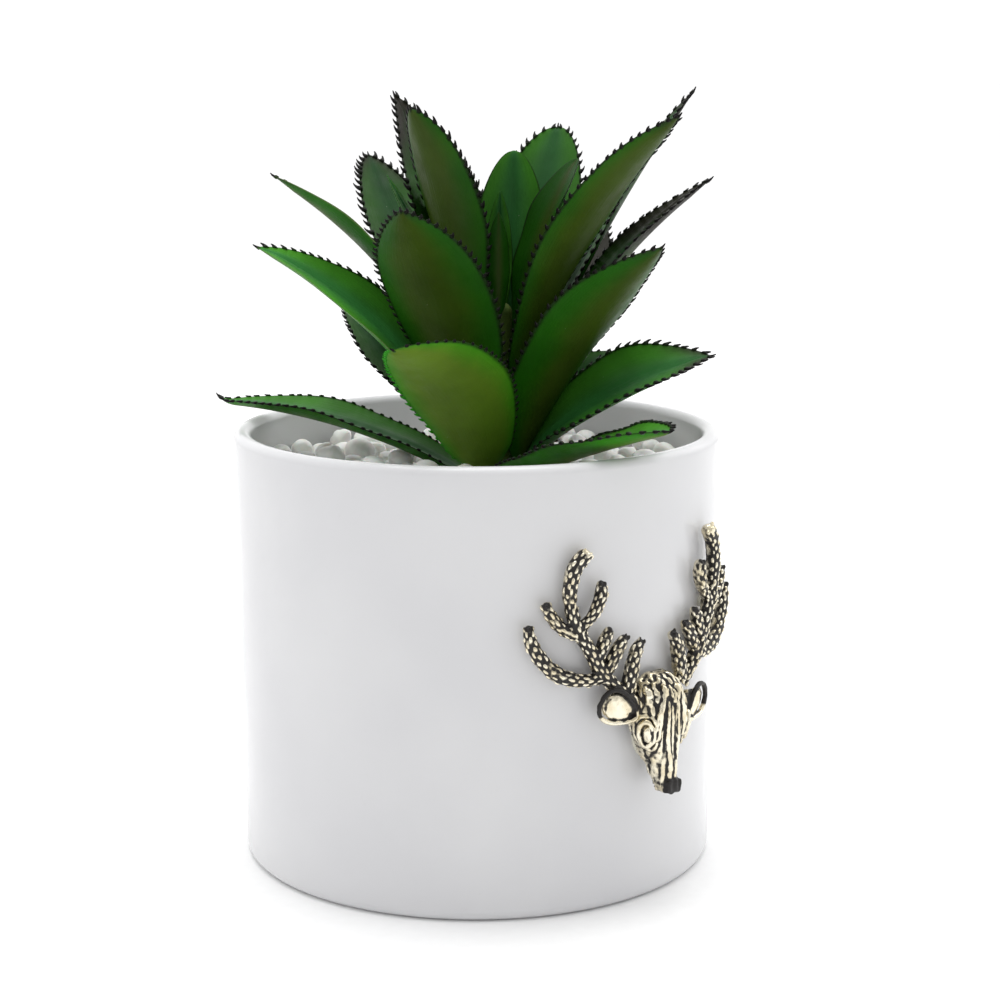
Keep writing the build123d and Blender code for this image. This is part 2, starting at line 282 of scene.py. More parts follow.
pot = turn_section("pot_glazed", pot_section, POT_SEGMENTS, glaze)
pot.data.materials.append(bisque)
for face in pot.data.polygons:
    if face.center.z < BARE_BELOW:
        face.material_index = 1
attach(pot, "planter")
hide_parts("pot")


# Foam and glue. A block of expanded polystyrene fills the pot, and dabs of
# hot-melt glue hold it to the floor. Pressed beads show in its surface.
_, foam_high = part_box("foam_plug")
FOAM_TOP = foam_high.z
FOAM_DROP = 2.0 * MM


def refinish(name, finish):
    """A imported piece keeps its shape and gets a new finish."""
    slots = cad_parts[name].data.materials
    slots.clear()
    slots.append(finish)


foam_finish, tree, shader = new_finish("polystyrene", Roughness=0.8)
beads = add_node(tree, "ShaderNodeTexVoronoi", {"Vector": places(tree), "Scale": 380.0},
                 feature="DISTANCE_TO_EDGE")
bead_edge = remap(tree, beads.outputs["Distance"], 0.0, 0.12)
feed(tree, shader, Base_Color=blend_colour(tree, bead_edge, (0.66, 0.66, 0.64), (0.87, 0.87, 0.85)))
relief(tree, shader, bead_edge, 0.3 * MM)
refinish("foam_plug", foam_finish)

glue_finish, tree, shader = new_finish("hot_glue", Roughness=0.3)
cloud = remap(tree, grain(tree, places(tree), 300), 0.3, 0.7)
feed(tree, shader, Base_Color=blend_colour(tree, cloud, (0.70, 0.68, 0.58), (0.82, 0.80, 0.70)))
relief(tree, shader, cloud, 0.1 * MM)
refinish("foam_glue", glue_finish)
refinish("ornament_adhesive", glue_finish)


# Stem. A moulded plastic rod with a socket for each leaf, stiffened by a steel
# wire. Its spike stands in the foam, so the whole plant pulls out upwards.
stem_low, stem_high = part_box("stem_core")
STEM_X = (stem_low.x + stem_high.x) / 2
STEM_Y = (stem_low.y + stem_high.y) / 2
STEM_R = (stem_high.x - stem_low.x) / 2

stem_finish, tree, shader = new_finish("stem_plastic", Roughness=0.5)
mottle = remap(tree, grain(tree, places(tree), 260, 4), 0.3, 0.7)
feed(tree, shader, Base_Color=blend_colour(tree, mottle, (0.045, 0.080, 0.012), (0.085, 0.125, 0.022)))
relief(tree, shader, grain(tree, places(tree), 900, 4), 0.15 * MM)
refinish("stem_core", stem_finish)

wire_finish, tree, shader = new_finish("drawn_steel", Metallic=1.0)
drawn = add_node(tree, "ShaderNodeMapping", {"Vector": places(tree), "Scale": (900, 900, 30)}).outputs[0]
scratch = remap(tree, grain(tree, drawn, 1.0), 0.3, 0.7)
feed(tree, shader, Base_Color=blend_colour(tree, scratch, (0.42, 0.42, 0.43), (0.58, 0.58, 0.58)))
feed(tree, shader, Roughness=remap(tree, scratch, 0, 1, 0.3, 0.5))
refinish("stem_wire", wire_finish)


# Leaves. Each is a solid moulding of soft plastic on a peg: fleshy, cupped and
# creased along its inner side, with soft black-tipped thorns along its margins.
# The colour is sprayed on: olive down the back, dark at the margins and tips; each leaf's brightness level is
# painted light and shade.
class Leaf(NamedTuple):
    """One leaf's set on the stem, in degrees and mm, and its colour and thorns."""

    heading: float
    height: float  # of its peg above the foam
    length: float
    width: float
    rise: float  # slope at the root
    arch: float  # slope at the tip
    roll: float
    swing: float  # turn of the heading from root to tip
    dark: float  # share of the length, from the tip, that is brown-black
    olive: float
    # painted light and shade: a brightness level that makes this leaf look lit or shaded
    light: float
    thorn: float  # length in mm, 0 on a smooth leaf
    hook: float = 0.0  # turn-up of the last part, in degrees
    blunt: float = 0.85  # lower is a rounder tip
    crease: float = 1.0
    green_thorns: float = 0.0  # on the margin on the negative side of across
    # the smooth margin has no thorns and a pale painted highlight line along it
    smooth_side_with_painted_highlight: int = 0  # the side of across whose margin is smooth and pale


LEAVES = {
    "leaf_front_low": Leaf(-145, 5, 61, 26, 54, 16, 20, -20, 0.0, 0.9, 2.7, 0.9, 0, 0.7, 1.0, 1.0),
    "leaf_front_mid": Leaf(-172, 14, 68, 27, 70, 36, 5, 30, 0.08, 0.55, 0.85, 1.2),
    "leaf_upper_left_front": Leaf(148, 35, 54.5, 27, 82, 70, 10, 20, 0.0, 0.75, 0.95, 1.4, 0, 0.62),
    "leaf_upper_left_back": Leaf(86, 28, 69, 23, 78, 54, -5, 10, 0.30, 0.8, 0.5, 1.5),
    "leaf_left_dark": Leaf(94, 18, 76, 24, 62, 38, 5, -25, 0.17, 0.3, 0.65, 1.9, 0, 0.7),
    "leaf_left_high": Leaf(127, 22, 68, 18, 66, 32, 10, 15, 0.10, 0.2, 1.25, 1.4, smooth_side_with_painted_highlight=1),
    "leaf_left_mid": Leaf(142, 9, 69, 22, 66, 25, -24, 5, 0.05, 0.3, 2.2, 1.2, smooth_side_with_painted_highlight=1),
    "leaf_left_low": Leaf(124, 3, 63, 22, 28, 2, 0, 5, 0.04, 0.35, 1.45, 1.0, 40),
    "leaf_left_behind": Leaf(110, 7, 52, 24, 46, 38, 0, -20, 0.10, 0.1, 0.9, 1.2),
    "leaf_left_slim": Leaf(112, 25, 52, 9, 72, 60, 0, 0, 0.0, 0.1, 1.5, 0.0),
    "leaf_right_high": Leaf(-66, 22, 80, 20, 78, 34, -5, -25, 0.08, 0.8, 1.1, 1.2),
    "leaf_right_high_back": Leaf(-15, 18, 87, 17, 66, 50, -10, -5, 0.22, 0.5, 0.8, 1.3),
    "leaf_right_back": Leaf(-32, 13, 75, 18, 71, 34, 0, 0, 0.42, 0.6, 0.8, 1.2),
    "leaf_right_mid": Leaf(-66, 8, 64, 28, 68, 38, -10, -20, 0.08, 0.4, 1.0, 1.2),
    "leaf_right_low": Leaf(-70, 5, 54, 29, 50, 14, 20, 30, 0.20, 0.6, 1.6, 1.4),
    "leaf_right_curl": Leaf(-106, 2.5, 61, 25, 22, 16, 5, 20, 0.08, 0.3, 1.8, 1.3, 0, 0.6),
    "leaf_back_tall": Leaf(14, 27, 63, 25, 72, 54, 0, 15, 0.0, 0.2, 1.1, 1.3, 0, 0.55),
    "leaf_heart_back": Leaf(29, 33, 46, 18, 72, 84, 15, 0, 0.0, 0.1, 1.3, 0.0, 0, 0.5),
    "leaf_heart_right": Leaf(-50, 33, 46, 18, 86, 60, 15, 20, 0.0, 0.15, 0.75, 0.0, 0, 0.6, 0.0),
    "leaf_heart_small_a": Leaf(36, 38, 31, 7, 84, 88, 0, 0, 0.0, 0.1, 1.1, 0.0, 0, 0.7),
    "leaf_heart_small_b": Leaf(-122, 41, 24, 6, 88, 88, 0, 0, 0.0, 0.1, 0.65, 0.0, 0, 0.7, 0.0),
    "leaf_back_right": Leaf(18, 10, 74, 26, 50, 38, 0, 5, 0.50, 0.5, 0.5, 1.3),
    "leaf_right_back_low": Leaf(-2, 3, 46, 19, 54, 16, 15, 10, 0.10, 0.3, 0.8, 1.0),
    "leaf_back_low": Leaf(55, 3, 52, 22, 38, 10, 0, 0, 0.20, 0.4, 0.9, 1.1),
    "leaf_back_left": Leaf(74, 12, 54, 18, 56, 26, 0, 0, 0.15, 0.4, 0.9, 1.2),
    "leaf_back_centre": Leaf(38, 20, 54, 14, 60, 34, 0, 0, 0.20, 0.4, 0.85, 1.2),
}

LEAF_START = 6.2
BLADE_ROOT_SHARE = 0.42
BLADE_PEAK = 0.52
BLADE_NECK = 0.12
BLADE_CUP = 0.28
BLADE_SPREAD = 0.93
BLADE_TIP_HALF = 0.25
BLADE_MIDDLE = 1.7  # thickness at the middle and at the margin
BLADE_MARGIN = 0.55
CREASE = 0.45
CREASE_FADE_IN = 0.2  # shares of the length
CREASE_FADE_OUT = 0.15
CREASE_HALF = 0.10  # shares of the half width: the crease and its raised shoulders
SHOULDER_AT = 0.24
SHOULDER_HALF = 0.12
MARGIN_WAVE = 0.35
MARGIN_BEATS = (2.0, 3.2)  # waves along a margin
BLADE_STATIONS = 110
RING_POINTS = 40
THORN_START = 0.13  # share of the length that is bare at the root
THORN_STOP = 0.4
THORN_PITCH = 2.3
PITCH_SPREAD = (0.8, 1.25)
THORN_SPREAD = (0.75, 1.15)
END_THORN = 1.4  # length of the thorn at the very tip
# reach along a thorn, as a share of its length, and radius in mm
THORN_RINGS = ((-0.3, 0.68), (0.08, 0.58), (0.35, 0.43), (0.65, 0.33), (0.9, 0.24), (1.0, 0.13))
THORN_SIDES = 6
THORN_BLACK = 0.35  # how black a thorn is at its root, 1 is all black
HOOK_START = 0.94


def half_width(leaf, t):
    """Half width of a blade at shares t of its length."""
    grow = BLADE_ROOT_SHARE + (1 - BLADE_ROOT_SHARE) * np.sin(pi / 2 * np.minimum(t / BLADE_PEAK, 1))
    close = np.cos(pi / 2 * np.clip((t - BLADE_PEAK) / (1 - BLADE_PEAK), 0, 1)) ** leaf.blunt
    neck = 0.3 + 0.7 * np.sin(pi / 2 * np.minimum(t / BLADE_NECK, 1))
    return np.maximum(leaf.width / 2 * np.where(t < BLADE_PEAK, grow, close) * neck, BLADE_TIP_HALF)


def unit(vectors):
    """Rows scaled to length 1."""
    return vectors / np.linalg.norm(vectors, axis=-1, keepdims=True)


def blade_line(leaf):
    """Points in mm along a blade, with its directions along, across and inwards."""
    t = np.linspace(0, 1, BLADE_STATIONS)
    hook = leaf.hook * np.clip((t - HOOK_START) / (1 - HOOK_START), 0, 1)
    slope = np.radians(leaf.rise + (leaf.arch - leaf.rise) * t + hook)
    heading = np.radians(leaf.heading + leaf.swing * t)
    along = np.stack([np.cos(slope) * np.cos(heading), np.cos(slope) * np.sin(heading), np.sin(slope)], 1)
    root = np.array([STEM_X / MM, STEM_Y / MM, FOAM_TOP / MM + leaf.height])
    root += LEAF_START * np.array([cos(radians(leaf.heading)), sin(radians(leaf.heading)), 0])
    strides = (along[1:] + along[:-1]) / 2 * leaf.length / (BLADE_STATIONS - 1)
    points = root + np.vstack([np.zeros(3), np.cumsum(strides, 0)])
    level = np.stack([-np.sin(heading), np.cos(heading), 0 * heading], 1)
    upward = np.cross(along, level)
    turn = radians(leaf.roll)
    across = level * cos(turn) + upward * sin(turn)
    inward = upward * cos(turn) - level * sin(turn)
    return t, points, along, across, inward


def end_face(first, count, flip):
    """The face that closes a ring of points that starts at an index."""
    ring = range(first, first + count)
    return tuple(reversed(ring)) if flip else tuple(ring)


def tube_faces(first, rings, count):
    """Faces between rings of points, closed at both ends."""
    faces = []
    for i in range(rings - 1):
        here = first + i * count
        for k in range(count):
            n = (k + 1) % count
            faces.append((here + k, here + n, here + count + n, here + count + k))
    faces.append(end_face(first, count, True))
    faces.append(end_face(first + (rings - 1) * count, count, False))
    return faces


def build_leaf(name, leaf, rng):
    """The mesh of one leaf: a fleshy blade and its thorns."""
    t, points, along, across, inward = blade_line(leaf)
    half = half_width(leaf, t)
    phase = rng.uniform(0, 2 * pi, 2)
    beat = rng.uniform(*MARGIN_BEATS)
    wave = MARGIN_WAVE * np.stack([np.sin(2 * pi * beat * t + p) for p in phase], 1) * np.sin(pi * t)[:, None]
    phi = 2 * pi * np.arange(RING_POINTS) / RING_POINTS
    u = np.cos(phi)
    inner = np.sin(phi) > 0
    fade = np.clip(t / CREASE_FADE_IN, 0, 1) * np.clip((1 - t) / CREASE_FADE_OUT, 0, 1)
    side_wave = np.where(u > 0, wave[:, :1], wave[:, 1:]) * np.abs(u) ** 3
    lift = BLADE_CUP * half[:, None] * u ** 2 + side_wave
    middle = BLADE_MIDDLE * (1.15 - 0.55 * t) * np.minimum(half / 3.0, 1)
    margin = BLADE_MARGIN * np.minimum(half / 1.5, 1)
    thick = (margin[:, None] + (middle - margin)[:, None] * (1 - np.abs(u) ** 1.6)) / 2
    shoulder = 0.45 * np.exp(-((np.abs(u) - SHOULDER_AT) / SHOULDER_HALF) ** 2)
    groove = CREASE * leaf.crease * fade[:, None] * (np.exp(-(u / CREASE_HALF) ** 2) - shoulder)
    depth = thick * np.sin(phi) - np.where(inner, groove, 0)
    verts = (points[:, None] + across[:, None] * (BLADE_SPREAD * half[:, None] * u)[..., None]
             + inward[:, None] * (lift + depth)[..., None]).reshape(-1, 3)
    faces = tube_faces(0, BLADE_STATIONS, RING_POINTS)
    count = len(verts)
    marks = {
        "along": np.repeat(t, RING_POINTS),
        "across": np.tile(u, BLADE_STATIONS),
        "inner": np.tile(np.clip(np.sin(phi) * 3 + 0.5, 0, leaf.crease), BLADE_STATIONS),
        "thorn": np.zeros(count),
    }
    verts = [verts]
    if leaf.thorn > 0:
        thorns, thorn_faces, thorn_marks = build_thorns(
            leaf, rng, t, points, along, across, inward, half, wave)
        faces += [tuple(i + count for i in face) for face in thorn_faces]
        verts.append(thorns)
        for key in marks:
            marks[key] = np.concatenate([marks[key], thorn_marks[key]])
    made = link_mesh(name + "_moulded", np.vstack(verts) * MM, faces, leaf_finish)
    total = len(made.data.vertices)
    marks["dark"] = np.full(total, leaf.dark)
    marks["olive"] = np.full(total, leaf.olive)
    # painted light and shade: the leaf's brightness level
    marks["light"] = np.full(total, leaf.light)
    marks["fresh"] = np.clip(-marks["across"], 0, 1) * leaf.green_thorns
    # painted highlight: a pale line along the smooth margin
    marks["painted_rim_highlight"] = np.clip(marks["across"] * leaf.smooth_side_with_painted_highlight, 0, 1)
    for key, values in marks.items():
        made.data.attributes.new(key, "FLOAT", "POINT").data.foreach_set("value", values.astype(np.float32))
    return made


def build_thorns(leaf, rng, t, points, along, across, inward, half, wave):
    """Small hooked horns along its thorny margins, leaning to the tip."""
    verts = []
    faces = []
    marks = {"along": [], "across": [], "inner": [], "thorn": []}
    ring_angles = 2 * pi * np.arange(THORN_SIDES) / THORN_SIDES
    for column, side in enumerate((1, -1)):
        if side == leaf.smooth_side_with_painted_highlight:
            continue
        edge = points + across * (side * BLADE_SPREAD * half)[:, None]
        edge = edge + inward * (BLADE_CUP * half + wave[:, column])[:, None]
        forward = unit(np.gradient(edge, axis=0))
        travel = np.concatenate([[0], np.cumsum(np.linalg.norm(np.diff(edge, axis=0), axis=1))])
        place = THORN_START * leaf.length
        while place < travel[-1] - THORN_STOP:
            station = np.interp(place, travel, np.arange(len(t)))
            i = int(station)
            share = station - i
            base = edge[i] * (1 - share) + edge[min(i + 1, len(t) - 1)] * share
            ahead = forward[i]
            up = unit(inward[i] + 0.35 * rng.normal(size=3) * 0.3)
            out = unit(np.cross(ahead, up) * np.sign(np.dot(np.cross(ahead, up), across[i] * side) or 1))
            at = t[i]
            size = leaf.thorn * rng.uniform(*THORN_SPREAD) * np.clip((at - 0.05) / 0.25, 0.35, 1)
            girth = 0.8 + 0.25 * (size - 1)
            first = len(verts)
            for reach, radius in THORN_RINGS:
                outer = max(reach, 0)
                centre = base + size * (out * (0.95 * reach - 0.2 * outer ** 2)
                                        + ahead * (0.15 * reach + 0.55 * outer ** 2) + up * 0.12 * reach ** 2)
                for a in ring_angles:
                    verts.append(centre + radius * girth * (ahead * cos(a) * 1.25 + up * sin(a) * 0.8))
                    marks["along"].append(at)
                    marks["across"].append(side)
                    marks["inner"].append(0.5)
                    marks["thorn"].append(min(outer + THORN_BLACK, 1))
            ring_faces = tube_faces(first, len(THORN_RINGS), THORN_SIDES)
            faces += [tuple(reversed(f)) for f in ring_faces] if side < 0 else ring_faces
            place += THORN_PITCH * rng.uniform(*PITCH_SPREAD)
    first = len(verts)
    for reach, radius in THORN_RINGS:
        outer = max(reach, 0)
        centre = points[-1] + along[-1] * (END_THORN * reach - 0.3) + inward[-1] * 0.2 * outer ** 2
        for a in ring_angles:
            verts.append(centre + radius * 0.6 * (across[-1] * cos(a) + inward[-1] * sin(a)))
            marks["along"].append(1.0)
            marks["across"].append(0.0)
            marks["inner"].append(0.5)
            marks["thorn"].append(min(outer + THORN_BLACK, 1))
    faces += tube_faces(first, len(THORN_RINGS), THORN_SIDES)
    return np.array(verts), faces, {key: np.array(values) for key, values in marks.items()}


def read_points(mesh):
    """A mesh's points as rows."""
    rows = np.empty(len(mesh.vertices) * 3)
    mesh.vertices.foreach_get("co", rows)
    return rows.reshape(-1, 3)


def mark(tree, name):
    """A number that the mesh carries at each point."""
    return add_node(tree, "ShaderNodeAttribute", attribute_name=name).outputs["Fac"]


leaf_finish, tree, shader = new_finish("leaf_plastic", IOR=1.45, Specular_IOR_Level=0.13)
where = places(tree)
off_middle = calc(tree, "ABSOLUTE", mark(tree, "across"))
cloudy = grain(tree, where, 90, 3)
fine = grain(tree, where, 1400, 3)
olive_reach = calc(tree, "ADD", calc(tree, "MULTIPLY", mark(tree, "olive"), 0.75), calc(
    tree, "MULTIPLY", cloudy, 0.5))
olive_share = remap(tree, calc(tree, "SUBTRACT", olive_reach, off_middle), -0.25, 0.45)
outer_colour = blend_colour(tree, olive_share, (0.012, 0.086, 0.002), (0.036, 0.064, 0.005))
inner_share = remap(tree, off_middle, 0.05, 0.8)
inner_colour = blend_colour(tree, inner_share, (0.016, 0.085, 0.018), (0.030, 0.130, 0.010))
body = blend_colour(tree, remap(tree, mark(tree, "inner"), 0.3, 0.7), outer_colour, inner_colour)
# Painted light and shade: each leaf's brightness level, times the plastic's own cloudy mottling.
shade = calc(tree, "MULTIPLY", mark(tree, "light"), remap(tree, cloudy, 0.25, 0.75, 0.85, 1.15))
shade_colour = add_node(tree, "ShaderNodeCombineColor", {0: shade, 1: shade, 2: shade}).outputs[0]
body = blend_colour(tree, 1.0, body, shade_colour, "MULTIPLY")
tip_start = calc(tree, "SUBTRACT", 1.0, mark(tree, "dark"))
tip_place = calc(tree, "ADD", mark(tree, "along"), calc(tree, "MULTIPLY", calc(
    tree, "SUBTRACT", calc(tree, "MULTIPLY", off_middle, 0.6), calc(tree, "MULTIPLY", cloudy, 0.5)), 0.25))
tip_share = remap(tree, calc(tree, "SUBTRACT", tip_place, tip_start), 0.0, 0.22)
body = blend_colour(tree, calc(tree, "MULTIPLY", tip_share, 0.93), body, (0.020, 0.015, 0.013))
rim_share = remap(tree, calc(tree, "ADD", off_middle, calc(tree, "MULTIPLY", fine, 0.03)), 0.93, 1.0)
fresh = remap(tree, mark(tree, "fresh"), 0.75, 1.0)
rim_colour = blend_colour(tree, fresh, (0.006, 0.012, 0.003), (0.025, 0.200, 0.006))
thorn_colour = blend_colour(tree, fresh, (0.006, 0.005, 0.005), (0.025, 0.230, 0.010))
# Painted highlight: a pale line along the smooth margin.
rim_colour = blend_colour(tree, remap(tree, mark(tree, "painted_rim_highlight"), 0.8, 1.0), rim_colour, (0.14, 0.20, 0.07))
body = blend_colour(tree, calc(tree, "MULTIPLY", rim_share, 0.8), body, rim_colour)
body = blend_colour(tree, remap(tree, mark(tree, "thorn"), 0.1, 0.6), body, thorn_colour)
dots = add_node(tree, "ShaderNodeTexVoronoi", {"Vector": where, "Scale": 260.0})
dot_share = calc(tree, "MULTIPLY", remap(tree, dots.outputs["Distance"], 0.035, 0.02), calc(
    tree, "GREATER_THAN", grain(tree, where, 60, 0), 0.56))
body = blend_colour(tree, calc(tree, "MULTIPLY", dot_share, 0.5), body, (0.42, 0.45, 0.36))
feed(tree, shader, Base_Color=body)
feed(tree, shader, Roughness=remap(tree, grain(tree, where, 220, 4), 0.3, 0.7, 0.42, 0.58))
streaks = add_node(tree, "ShaderNodeCombineXYZ", {
    0: calc(tree, "MULTIPLY", mark(tree, "across"), 26.0),
    1: calc(tree, "MULTIPLY", mark(tree, "along"), 2.5)}).outputs[0]
skin = calc(tree, "ADD", calc(tree, "MULTIPLY", grain(tree, streaks, 1.0, 2), 0.8), calc(
    tree, "MULTIPLY", fine, 0.5))
relief(tree, shader, skin, 0.12 * MM, 0.7)

rng = np.random.default_rng(11)
leaf_points = []
for name, leaf in LEAVES.items():
    blade = build_leaf(name, leaf, rng)
    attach(blade, "plant")
    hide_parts(name)
    leaf_points.append(read_points(blade.data))
leaf_points = np.vstack(leaf_points)


# Pebbles. Tumbled white quartz gravel, poured round the stem and glued where it
# lies, so it stays in the pot when the plant is pulled out.
PEBBLE_RADII = (2.5 * MM, 4.0 * MM)
HEAP_TOP = POT_HEIGHT - 5.8 * MM
POUR_TRIES = 520
SPOTS_A_TRY = 60
WALL_ROOM = 0.2 * MM
STEM_ROOM = 0.4 * MM
LEAF_ROOM = 0.5 * MM
SETTLE = 0.97  # pebbles press together, to this share of their radii
PEBBLE_AXES = ((1.0, 1.2), (0.88, 1.02), (0.74, 0.92))

pebble_finish, tree, shader = new_finish(
    "white_quartz", Subsurface_Weight=0.15, Subsurface_Scale=0.002, IOR=1.5)
where = places(tree)
cloud = remap(tree, grain(tree, where, 130, 4), 0.3, 0.75)
stone_colour = blend_colour(tree, cloud, (0.97, 0.97, 0.95), (0.90, 0.90, 0.87))
grey_share = remap(tree, mark(tree, "tone"), 0.75, 1.0, 0, 0.4)
feed(tree, shader, Base_Color=blend_colour(tree, grey_share, stone_colour, (0.76, 0.76, 0.72)))
feed(tree, shader, Roughness=remap(tree, grain(tree, where, 500), 0.3, 0.7, 0.32, 0.55))
relief(tree, shader, grain(tree, where, 900, 4), 0.12 * MM, 0.6)


def foam_z(r):
    """Height of the foam's surface at a distance from the pot's axis."""
    return FOAM_TOP - FOAM_DROP * (r / (wall_r(FOAM_TOP) - POT_WALL)) ** 2


def pour(rng):
    """Centres and radii of pebbles, each dropped to the lowest of its trial spots."""
    placed = np.empty((0, 4))
    low_leaves = leaf_points[leaf_points[:, 2] < HEAP_TOP + 4 * MM]
    stem_axis = np.array([STEM_X, STEM_Y])
    for _ in range(POUR_TRIES):
        radius = rng.uniform(*PEBBLE_RADII)
        reach = wall_r(FOAM_TOP) - POT_WALL - radius - WALL_ROOM
        best = None
        angles = rng.uniform(0, 2 * pi, SPOTS_A_TRY)
        radii = reach * np.sqrt(rng.uniform(0, 1, SPOTS_A_TRY))
        for angle, r in zip(angles, radii):
            spot = np.array([r * cos(angle), r * sin(angle)])
            if np.linalg.norm(spot - stem_axis) < STEM_R + radius + STEM_ROOM:
                continue
            z = foam_z(r) + radius
            if len(placed):
                gap = np.linalg.norm(placed[:, :2] - spot, axis=1)
                touch = SETTLE * (placed[:, 3] + radius)
                near = gap < touch
                if near.any():
                    z = max(z, (placed[near, 2] + np.sqrt(touch[near] ** 2 - gap[near] ** 2)).max())
            if z + radius > HEAP_TOP or (best is not None and z >= best[2]):
                continue
            centre = np.array([spot[0], spot[1], z])
            if (np.linalg.norm(low_leaves - centre, axis=1) < radius + LEAF_ROOM).any():
                continue
            best = (spot[0], spot[1], z)
        if best is not None:
            placed = np.vstack([placed, [*best, radius]])
    return placed


def build_pebbles(rng):
    """One mesh of rounded, slightly flattened stones."""
    mould = bmesh.new()
    bmesh.ops.create_icosphere(mould, subdivisions=3, radius=1)
    ball = np.array([v.co for v in mould.verts])
    ball_faces = np.array([[v.index for v in f.verts] for f in mould.faces])
    mould.free()
    verts = []
    faces = []
    tones = []
    for x, y, z, radius in pour(rng):
        axes = radius * np.array([rng.uniform(*share) for share in PEBBLE_AXES])
        bulge = 1 + 0.09 * np.sin(ball @ rng.normal(size=3) * 1.6 + rng.uniform(0, 6))
        bulge += 0.07 * np.sin(ball @ rng.normal(size=3) * 3.0 + rng.uniform(0, 6))
        spin, _ = np.linalg.qr(rng.normal(size=(3, 3)))
        tilt = np.eye(3) + 0.35 * (spin - np.eye(3))
        tilt, _ = np.linalg.qr(tilt)
        heading = rng.uniform(0, 2 * pi)
        turn = np.array([[cos(heading), -sin(heading), 0], [sin(heading), cos(heading), 0], [0, 0, 1]])
        faces += [tuple(f + len(verts) * len(ball)) for f in ball_faces]
        verts.append((ball * bulge[:, None] * axes) @ tilt.T @ turn.T + (x, y, z))
        tones += [rng.uniform()] * len(ball)
    made = link_mesh("pebbles_poured", np.vstack(verts), faces, pebble_finish)
    made.data.attributes.new("tone", "FLOAT", "POINT").data.foreach_set("value", np.array(tones, np.float32))
    return made


pebbles = build_pebbles(np.random.default_rng(5))
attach(pebbles, "planter")
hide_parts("pebbles")


# Ornament. A stag's head cast in zinc and brassed, with its back bent to the
# wall. Its antlers are covered in raised beads; it was blackened, then rubbed
# back to bright metal on its high places. Glue pads hold it to the pot.
CROWN = 52.0  # mm, height of the top of the head
PAD_THICKNESS = 0.9
TINE_DEPTH = 1.6
TINE_STEP = 0.35
TINES = (
    # left antler from root to tip: x, z above the crown and half width, in mm
    ((-8.5, -3.2, 1.9), (-11.6, -0.6, 1.7), (-14.4, 2.3, 1.7),
     (-16.1, 4.9, 1.8), (-17.9, 8.4, 1.6), (-20.4, 12.4, 1.8)),
    ((-20.4, 12.0, 1.8), (-22.0, 17.6, 1.6), (-22.3, 22.3, 1.8), (-21.2, 26.7, 2.0), (-18.3, 30.0, 1.8)),
    ((-20.2, 13.0, 1.2), (-17.2, 16.0, 1.3), (-15.5, 19.6, 1.6), (-15.4, 23.3, 1.1)),
    ((-20.4, 11.6, 1.4), (-23.8, 13.6, 1.6), (-26.0, 16.4, 1.5), (-27.3, 19.5, 1.2)),
    ((-14.4, 1.6, 1.2), (-20.3, 2.0, 1.7), (-24.8, 3.8, 2.0),
     (-28.1, 7.5, 1.8), (-29.9, 11.5, 1.6), (-30.4, 14.8, 1.1)),
    ((-16.2, 4.4, 1.2), (-14.8, 9.2, 1.5), (-12.9, 12.9, 1.0)),
    ((-14.0, 2.4, 1.3), (-11.6, 7.0, 1.6), (-9.0, 10.6, 1.0)),
    ((-8.6, -3.0, 1.9), (-7.4, 2.6, 1.8), (-6.4, 6.2, 1.5), (-4.6, 9.0, 1.1)),
)
HEAD = (
    # z above the crown, half width and depth from the wall, in mm
    (-25.4, 1.6, 6.6), (-24.8, 2.3, 8.0), (-22.5, 2.7, 8.5), (-19.0, 3.7, 8.3), (-16.0, 5.0, 8.1),
    (-13.0, 6.5, 8.1), (-10.0, 7.3, 8.1), (-6.5, 7.4, 8.1), (-3.0, 6.6, 7.4), (-0.5, 5.0, 5.9),
    (1.0, 2.6, 3.6),
)
EYE_TURN = 54.0  # degrees round from the front
EYE_Z = -11.3
LID_TURN = 21.0
LID_HEIGHT = 3.9
CHEEK_TURN = 62.0
CHEEK_Z = -10.8
EAR_X = 12.1
EAR_Z = -5.0
EAR_OFF = 4.6  # from the wall
EAR_DROP = 3.5  # how much lower one ear lies
CROWN_LUMPS = 16  # on each side
NOSE_Z = -23.7
NOSE_OFF = 7.8
SNOUT_TOP = -16.0
SNOUT_LIFT = 0.38  # the snout leaves the wall by this much for each mm down
BEAD_STEP = 2.1
BEAD = (0.70, 0.35, 0.46)
BEAD_SINK = 0.10
TIP_REACH = 1.3  # how far a tine's end is left black or polished
SKIN_STEP = 0.19 * MM
SKIN_ROUNDS = 2
WEAR_ROUNDS = 26  # smoothing that the high places are measured from


def on_wall(x, z, off):
    """A point in mm at a distance in front of the pot's wall."""
    r = wall_r((CROWN + z) * MM) / MM + off
    return np.array([x, -(r * r - x * x) ** 0.5, CROWN + z])


def curve_through(points, step):
    """Evenly spaced rows on a smooth curve through rows of numbers."""
    p = np.array(points, float)
    p = np.vstack([2 * p[0] - p[1], p, 2 * p[-1] - p[-2]])
    rows = []
    for i in range(1, len(p) - 2):
        t = np.linspace(0, 1, 12, endpoint=False)[:, None]
        a, b, c, d = p[i - 1:i + 3]
        rows.append(0.5 * (2 * b + (c - a) * t + (2 * a - 5 * b + 4 * c - d) * t ** 2
                           + (3 * b - a - 3 * c + d) * t ** 3))
    rows = np.vstack(rows + [p[-2:-1]])
    travel = np.concatenate([[0], np.cumsum(np.linalg.norm(np.diff(rows[:, :2], axis=0), axis=1))])
    stops = np.linspace(0, travel[-1], max(int(travel[-1] / step), 3))
    return np.stack([np.interp(stops, travel, rows[:, k]) for k in range(rows.shape[1])], 1)


